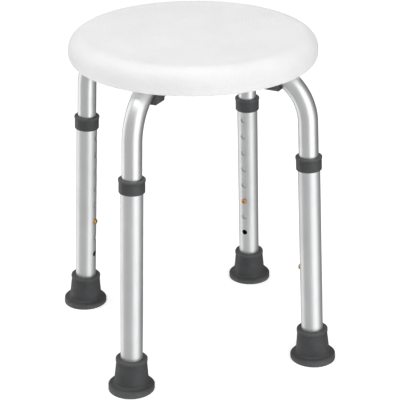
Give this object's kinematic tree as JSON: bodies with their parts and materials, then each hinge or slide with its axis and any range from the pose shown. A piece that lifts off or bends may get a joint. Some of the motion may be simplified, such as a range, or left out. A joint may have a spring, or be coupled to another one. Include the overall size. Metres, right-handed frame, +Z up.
{
  "type": "shower stool",
  "caption": "Round backless shower stool: hollow plastic seat on crossed bent aluminium frames with height-adjustable telescoping legs, snap buttons and flared rubber feet.",
  "frame": {"origin": "on the floor at the centre of the four feet, below the middle of the seat", "axes": "+Z up through the seat's centre; the legs stand in the planes halfway between X and Y"},
  "size_m": [0.319, 0.319, 0.4285],
  "materials": {
    "seat_plastic": "white blow-moulded polyethylene with a fine satin texture",
    "aluminium": "satin silver anodised tube",
    "grey_plastic": "dark grey moulded plastic",
    "rubber": "dark grey matt rubber",
    "brass": "bare brass",
    "spring_steel": "spring steel strip",
    "steel": "zinc plated steel"
  },
  "bodies": {
    "seat_frame": {"seat_shell": "seat_plastic", "frame_tube_lower": "aluminium", "frame_tube_upper": "aluminium", "seat_clamp_rear_right": "grey_plastic", "seat_clamp_rear_left": "grey_plastic", "seat_clamp_front_left": "grey_plastic", "seat_clamp_front_right": "grey_plastic", "clamp_screws": "steel", "crossing_bolt": "steel", "crossing_washer": "steel", "crossing_nut": "steel", "snap_spring_rear_right": "spring_steel", "snap_spring_rear_left": "spring_steel", "snap_spring_front_left": "spring_steel", "snap_spring_front_right": "spring_steel"},
    "leg_rear_right": {"leg_tube_rear_right": "aluminium", "leg_collar_rear_right": "grey_plastic", "foot_tip_rear_right": "rubber", "foot_washer_rear_right": "steel"},
    "leg_rear_left": {"leg_tube_rear_left": "aluminium", "leg_collar_rear_left": "grey_plastic", "foot_tip_rear_left": "rubber", "foot_washer_rear_left": "steel"},
    "leg_front_left": {"leg_tube_front_left": "aluminium", "leg_collar_front_left": "grey_plastic", "foot_tip_front_left": "rubber", "foot_washer_front_left": "steel"},
    "leg_front_right": {"leg_tube_front_right": "aluminium", "leg_collar_front_right": "grey_plastic", "foot_tip_front_right": "rubber", "foot_washer_front_right": "steel"},
    "button_rear_right": {"snap_button_rear_right": "brass"},
    "button_rear_left": {"snap_button_rear_left": "brass"},
    "button_front_left": {"snap_button_front_left": "brass"},
    "button_front_right": {"snap_button_front_right": "brass"}
  },
  "joints": [
    {"name": "leg_rear_right_slide", "type": "slide", "parent": "seat_frame", "child": "leg_rear_right", "axis": [0.0352, 0.0352, -0.9988], "range_m": [-0.0508, 0.127], "deforming": ["snap_button_rear_right"]},
    {"name": "leg_rear_left_slide", "type": "slide", "parent": "seat_frame", "child": "leg_rear_left", "axis": [-0.0352, 0.0352, -0.9988], "range_m": [-0.0508, 0.127], "deforming": ["snap_button_rear_left"]},
    {"name": "leg_front_left_slide", "type": "slide", "parent": "seat_frame", "child": "leg_front_left", "axis": [-0.0352, -0.0352, -0.9988], "range_m": [-0.0508, 0.127], "deforming": ["snap_button_front_left"]},
    {"name": "leg_front_right_slide", "type": "slide", "parent": "seat_frame", "child": "leg_front_right", "axis": [0.0352, -0.0352, -0.9988], "range_m": [-0.0508, 0.127], "deforming": ["snap_button_front_right"]},
    {"name": "button_rear_right_press", "type": "slide", "parent": "seat_frame", "child": "button_rear_right", "axis": [0.7062, 0.7062, 0.0497], "range_m": [0, 0.0045], "stiffness_N_per_m": 1500, "springref_m": -0.002, "deforming": ["snap_spring_rear_right"]},
    {"name": "button_rear_left_press", "type": "slide", "parent": "seat_frame", "child": "button_rear_left", "axis": [-0.7062, 0.7062, 0.0497], "range_m": [0, 0.0045], "stiffness_N_per_m": 1500, "springref_m": -0.002, "deforming": ["snap_spring_rear_left"]},
    {"name": "button_front_left_press", "type": "slide", "parent": "seat_frame", "child": "button_front_left", "axis": [-0.7062, -0.7062, 0.0497], "range_m": [0, 0.0045], "stiffness_N_per_m": 1500, "springref_m": -0.002, "deforming": ["snap_spring_front_left"]},
    {"name": "button_front_right_press", "type": "slide", "parent": "seat_frame", "child": "button_front_right", "axis": [0.7062, -0.7062, 0.0497], "range_m": [0, 0.0045], "stiffness_N_per_m": 1500, "springref_m": -0.002, "deforming": ["snap_spring_front_right"]}
  ]
}
